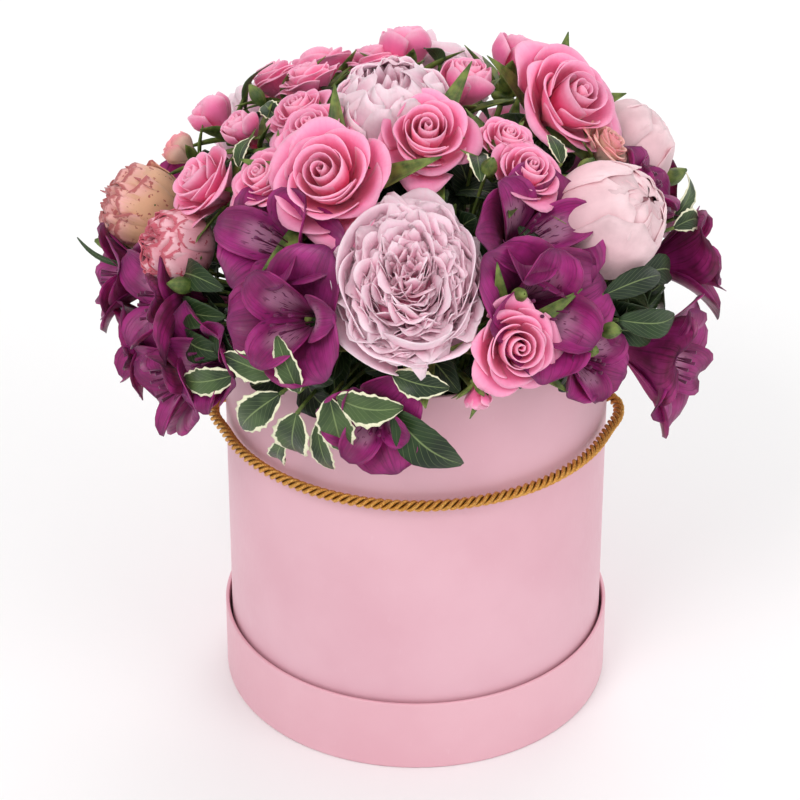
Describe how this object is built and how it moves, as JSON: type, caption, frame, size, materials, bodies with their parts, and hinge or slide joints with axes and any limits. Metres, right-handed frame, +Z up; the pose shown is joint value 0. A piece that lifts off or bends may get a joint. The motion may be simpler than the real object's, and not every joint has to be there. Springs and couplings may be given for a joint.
{
  "type": "flower box",
  "caption": "Round paperboard flower box standing in its upturned lid, with a twisted rope handle and a domed arrangement of mixed blooms in foam.",
  "frame": {"origin": "centre of the upturned lid's underside, on the table", "axes": "+Z up along the box's axis, -Y towards the front that the rope handle hangs across, +X to the right seen from the front"},
  "size_m": [0.3015, 0.2702, 0.3245],
  "materials": {
    "lid_board": "coated paperboard, satin",
    "box_board": "coated paperboard, satin",
    "gold_cord": "twisted metallic cord",
    "liner_film": "dark film",
    "foam": "wet floral foam",
    "peony_petal": "soft petal",
    "rose_petal": "velvety petal",
    "alstroemeria_petal": "glossy petal",
    "leaf": "waxy leaf"
  },
  "bodies": {
    "lid": {"lid_disc": "lid_board", "lid_skirt": "lid_board"},
    "box": {"box_wall": "box_board", "box_bottom": "box_board"},
    "handle": {"handle_rope": "gold_cord", "handle_knot_left": "gold_cord", "handle_knot_right": "gold_cord"},
    "arrangement": {"alstroemeria_back_left": "alstroemeria_petal", "alstroemeria_back_right": "alstroemeria_petal", "alstroemeria_centre_left": "alstroemeria_petal", "alstroemeria_centre_right": "alstroemeria_petal", "alstroemeria_drooping": "alstroemeria_petal", "alstroemeria_left": "alstroemeria_petal", "alstroemeria_left_low": "alstroemeria_petal", "alstroemeria_right": "alstroemeria_petal", "alstroemeria_right_low": "alstroemeria_petal", "floral_foam": "foam", "grass_blade": "leaf", "leaf_crown": "leaf", "leaf_front_dark": "leaf", "leaf_left_blade": "leaf", "leaf_right_lower": "leaf", "leaf_right_upper": "leaf", "liner_pot": "liner_film", "peony_back_left_bud": "peony_petal", "peony_back_open": "peony_petal", "peony_crown": "peony_petal", "peony_front_open": "peony_petal", "peony_left_half_open": "peony_petal", "peony_left_small": "peony_petal", "peony_right_back": "peony_petal", "peony_right_bud": "peony_petal", "pittosporum_back": "leaf", "pittosporum_back_left": "leaf", "pittosporum_front": "leaf", "pittosporum_front_left": "leaf", "pittosporum_front_right": "leaf", "pittosporum_left_centre": "leaf", "pittosporum_right": "leaf", "pittosporum_right_centre": "leaf", "rose_back_left": "rose_petal", "rose_back_low": "rose_petal", "rose_back_side": "rose_petal", "rose_buds_left": "rose_petal", "rose_centre": "rose_petal", "rose_crown_bud": "rose_petal", "rose_crown_right": "rose_petal", "rose_low_front": "rose_petal", "rose_open_left": "rose_petal", "rose_open_right": "rose_petal", "rose_pale_bud": "rose_petal", "rose_right_back": "rose_petal", "rose_spray_left_back": "rose_petal", "rose_spray_left_centre": "rose_petal", "rose_spray_left_front": "rose_petal", "rose_spray_right_front": "rose_petal", "rose_striped": "rose_petal", "rose_tiny_bud": "rose_petal", "rose_upright": "rose_petal"}
  },
  "joints": [
    {"name": "box_lift", "type": "slide", "parent": "lid", "child": "box", "axis": [0, 0, 1], "range_m": [0, 0.06]},
    {"name": "handle_swing", "type": "hinge", "parent": "box", "child": "handle", "pos_m": [0, -0.0012, 0.151], "axis": [-1, 0, 0], "range_deg": [0, 8]},
    {"name": "arrangement_lift", "type": "slide", "parent": "box", "child": "arrangement", "axis": [0, 0, 1], "range_m": [0, 0.19]}
  ]
}
